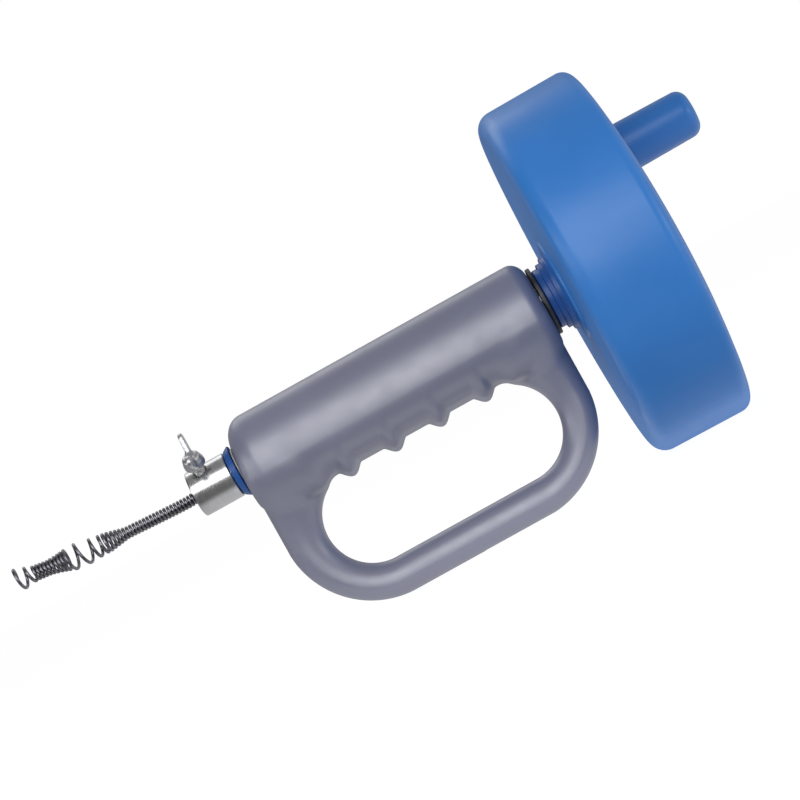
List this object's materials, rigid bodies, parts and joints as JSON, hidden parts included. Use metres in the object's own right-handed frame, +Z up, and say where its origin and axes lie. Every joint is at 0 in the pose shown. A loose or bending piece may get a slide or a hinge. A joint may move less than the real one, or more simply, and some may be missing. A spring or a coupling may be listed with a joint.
{
  "type": "drain auger",
  "caption": "Hand-cranked drum drain auger: D-shaped grip, drum of coiled spring cable, steel chuck with a wing screw, and a spring auger tip.",
  "frame": {"origin": "bottom centre of the bounding box, on the surface that the drum's rim stands on", "axes": "+X along the tool axis from the auger tip towards the crank, +Z up from the grip's loop to the barrel, and -Y towards the viewer of a side view with the crank at the right"},
  "size_m": [0.3996, 0.1836, 0.1836],
  "materials": {
    "drum_blue": "satin",
    "grip_grey": "satin",
    "bushing_black": "matte",
    "washer_white": "satin",
    "turned_steel": "satin",
    "zinc_steel": "satin",
    "black_steel": "matte",
    "spring_steel": "satin",
    "brass": "satin"
  },
  "bodies": {
    "handle": {"handle_grip": "grip_grey", "front_bushing": "bushing_black", "rear_bushing": "bushing_black"},
    "drum": {"drum_shell": "drum_blue", "rear_cover": "drum_blue", "cover_screw_1": "zinc_steel", "cover_screw_2": "zinc_steel", "cover_screw_3": "zinc_steel", "cover_screw_4": "zinc_steel", "spindle_tube": "turned_steel", "front_collar": "drum_blue", "front_washer": "washer_white", "rear_washer": "turned_steel", "spindle_nut": "zinc_steel", "spindle_nut_washer": "zinc_steel", "crank_screw": "zinc_steel", "crank_washer": "zinc_steel", "crank_nut": "zinc_steel", "chuck_body": "turned_steel", "chuck_grub_screw": "black_steel", "cable_coil": "spring_steel", "cable_lead": "spring_steel", "cable_end_clip": "zinc_steel"},
    "knob": {"crank_knob": "drum_blue"},
    "clamp_shoe": {"clamp_shoe": "brass"},
    "wing_screw": {"wing_screw": "zinc_steel"},
    "cable": {"cable_shaft": "spring_steel", "auger_tip": "spring_steel"}
  },
  "joints": [
    {"name": "drum_spin", "type": "hinge", "parent": "handle", "child": "drum", "pos_m": [0.11975, 0, 0.0918], "axis": [1, 0, 0], "continuous": true},
    {"name": "knob_spin", "type": "hinge", "parent": "drum", "child": "knob", "pos_m": [0.17975, 0.037, 0.1391], "axis": [1, 0, 0], "continuous": true},
    {"name": "clamp_travel", "type": "slide", "parent": "drum", "child": "clamp_shoe", "axis": [0, -0.5878, 0.809], "range_m": [0, 0.002]},
    {"name": "clamp_turn", "type": "hinge", "parent": "clamp_shoe", "child": "wing_screw", "pos_m": [-0.09475, -0.01058, 0.10637], "axis": [0, -0.5878, 0.809], "range_deg": [0, 720]},
    {"name": "cable_feed", "type": "slide", "parent": "drum", "child": "cable", "axis": [-1, 0, 0], "range_m": [0, 0.15]}
  ],
  "couplings": [
    {"joint": "clamp_turn", "follows": "clamp_travel", "rad_per_m": 6283.2}
  ]
}
